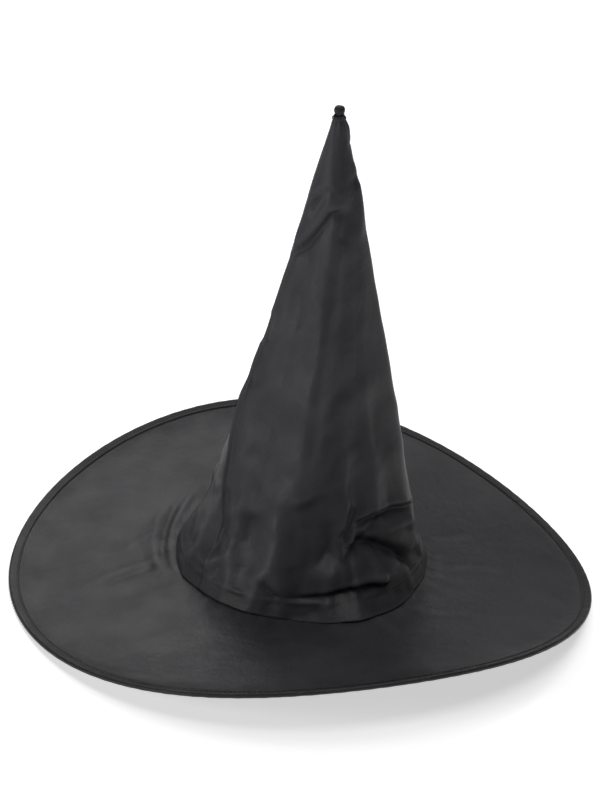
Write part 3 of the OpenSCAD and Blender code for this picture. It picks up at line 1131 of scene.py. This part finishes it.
seam_thread_low, seam_thread_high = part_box("head_seam_thread")
seam_thread_r = seam_thread_high.x - THREAD_MM * MM / 2
head_count = round(2 * math.pi * seam_thread_r / (3.1 * MM))
head_headings = np.radians(np.arange(head_count) * 360 / head_count)
head_z = (seam_thread_low.z + seam_thread_high.z) / 2
level = np.zeros(head_count)
head_spots = round_points(band_r - TAPE_MM * MM, head_headings, level + head_z)
head_ahead = np.stack([-np.sin(head_headings), np.cos(head_headings), level], axis=1)
head_out = -head_spots * np.array([1, 1, 0])
head_row = sew("head_seam_stitches", crown_stitch, head_spots, head_ahead, head_out)
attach(head_row, "hat")
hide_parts("head_seam_thread")
for used in (rim_stitch, crown_stitch):
    bpy.data.objects.remove(used)


# ---- knot at the peak

NECK_MM = 1.6


def tie_knot():
    """The gathered end of the cloth, drawn up through its tie and rolled over into a stub."""
    low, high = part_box("peak_knot")
    middle = (low + high) / 2
    half = (high - low) / 2
    deselect()
    bpy.ops.mesh.primitive_uv_sphere_add(segments=40, ring_count=20, radius=1, location=(0, 0, 0))
    piece = bpy.context.object
    piece.name = "peak_knob"
    points = points_of(piece)
    height = points[:, 2].copy()
    turn = np.arctan2(points[:, 1], points[:, 0])
    # fuller than a ball, and fuller below than above
    reach = np.hypot(points[:, 0], points[:, 1])
    full = np.where(height > 0, reach ** 0.8, reach ** 0.35)
    pleats = 1 - 0.05 * (1 + np.cos(11 * turn + 5 * height)) * np.clip(1 - height, 0, 1)
    roll = 1 - 0.1 * bell(height + 0.45 + 0.25 * np.sin(2 * turn), 0.16)
    points[:, 0] = np.cos(turn) * full * pleats * roll * half.x
    points[:, 1] = np.sin(turn) * full * pleats * roll * half.y
    points[:, 2] = height * half.z + 0.3 * MM * np.sin(3 * turn + 1) * reach * (height > 0)
    # the lowest ring goes down through the tie into the end of the cloth, as a neck
    points[height < -0.97, 2] -= NECK_MM * MM
    set_points(piece, points + np.array(middle))
    bpy.ops.object.shade_smooth()
    mesh = piece.data
    mesh.uv_layers[0].name = "cut"
    uv = np.zeros(len(mesh.loops) * 2, np.float32)
    mesh.uv_layers["cut"].data.foreach_get("uv", uv)
    mesh.uv_layers["cut"].data.foreach_set("uv", uv * 20 * MM)
    mark_wear_and_shade(piece, 2)
    dress(piece, shaded_strip_finish)
    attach(piece, "peak")
    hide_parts("peak_knot")


def wind_whipping():
    """The thread tied round the gathers: one length wound in close turns."""
    low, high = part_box("peak_whipping")
    thread_r = THREAD_MM * MM / 2
    turns = round((high.z - low.z) / (2 * thread_r))
    middle = (low + high) / 2
    steps = 48
    deselect()
    bpy.ops.mesh.primitive_circle_add(vertices=8, radius=thread_r, fill_type="NGON")
    piece = bpy.context.object
    piece.name = "peak_thread_winding"
    count = turns * steps
    ring = points_of(piece)
    way = np.arange(count + 1) / steps
    reach = high.x - middle.x - thread_r - 0.35 * MM
    angle = way * 2 * math.pi
    centre = np.stack([
        middle.x + reach * np.cos(angle), middle.y + reach * np.sin(angle),
        low.z + thread_r + (high.z - low.z - 2 * thread_r) * way / turns,
    ], axis=1)
    out = np.stack([np.cos(angle), np.sin(angle), angle * 0], axis=1)
    up = np.array([0, 0, 1])
    rings = centre[:, None] + ring[None, :, 0:1] * out[:, None] + ring[None, :, 1:2] * up
    sides = len(ring)
    faces = [
        (i * sides + j, i * sides + (j + 1) % sides, (i + 1) * sides + (j + 1) % sides, (i + 1) * sides + j)
        for i in range(count) for j in range(sides)
    ]
    faces += [tuple(range(sides))[::-1], tuple(count * sides + j for j in range(sides))]
    piece.data = new_mesh(piece.name, rings, faces)
    bpy.ops.object.mode_set(mode="EDIT")
    bpy.ops.mesh.select_all(action="SELECT")
    bpy.ops.mesh.normals_make_consistent(inside=False)
    bpy.ops.object.mode_set(mode="OBJECT")
    bpy.ops.object.shade_smooth()
    dress(piece, thread_finish)
    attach(piece, "peak")
    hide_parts("peak_whipping")


tie_knot()
wind_whipping()


# ---- finishes of the pieces kept from the frame

for name, finish in (
    ("overlock_thread", thread_finish),
    ("hoop_wire", wire_finish),
    ("wire_ferrule", tube_finish),
):
    dress(frame["nodes"][name], finish)


# ---- floor and lights

def set_floor():
    """A wide light table, which the lowest part of the rim rests on."""
    deselect()
    bpy.ops.mesh.primitive_plane_add(size=12, location=(0, 0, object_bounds()[0].z))
    bpy.ops.object.transform_apply(location=True, rotation=True, scale=True)
    floor = bpy.context.object
    floor.name = "floor"
    dress(floor, opal_acrylic())


def area_light(name, place, size, watts):
    """A square soft light that faces the middle of the hat."""
    deselect()
    bpy.ops.object.light_add(type="AREA", location=place)
    light = bpy.context.object
    light.name = name
    light.data.size = size
    light.data.energy = watts
    light.visible_camera = False
    light.rotation_euler = (Vector((0, 0, 0.1)) - Vector(place)).to_track_quat("-Z", "Y").to_euler()


def set_light():
    """Dim walls, paler near the floor, with a light overhead, one high in front, one behind on each
    side and a low one on the left."""
    world = bpy.data.worlds.new("white_surroundings")
    scene.world = world
    world.use_nodes = True
    tree = world.node_tree
    heading = add(tree, "TexCoord", {}).outputs["Generated"]
    height = add(tree, "SeparateXYZ", {"Vector": heading}).outputs["Z"]
    walls = add(tree, "ValToRGB", {"Fac": height}, stops=[(0.04, "#ececec"), (0.2, "#303030")])
    set_inputs(tree, tree.nodes["Background"], {"Color": walls.outputs["Color"], "Strength": 0.3})
    area_light("top_light", (0.2, 0.2, 2.4), 1.4, 13)
    area_light("front_light", (0.5, -1.0, 2.3), 0.8, 12)
    area_light("back_light", (-0.5, 1.8, 1.6), 1.1, 15)
    area_light("right_light", (1.0, 1.8, 1.7), 0.8, 8)
    area_light("key_light", (-1.9, -1.15, 0.8), 0.7, 15)
    scene.view_settings.view_transform = "Standard"


set_floor()
set_light()
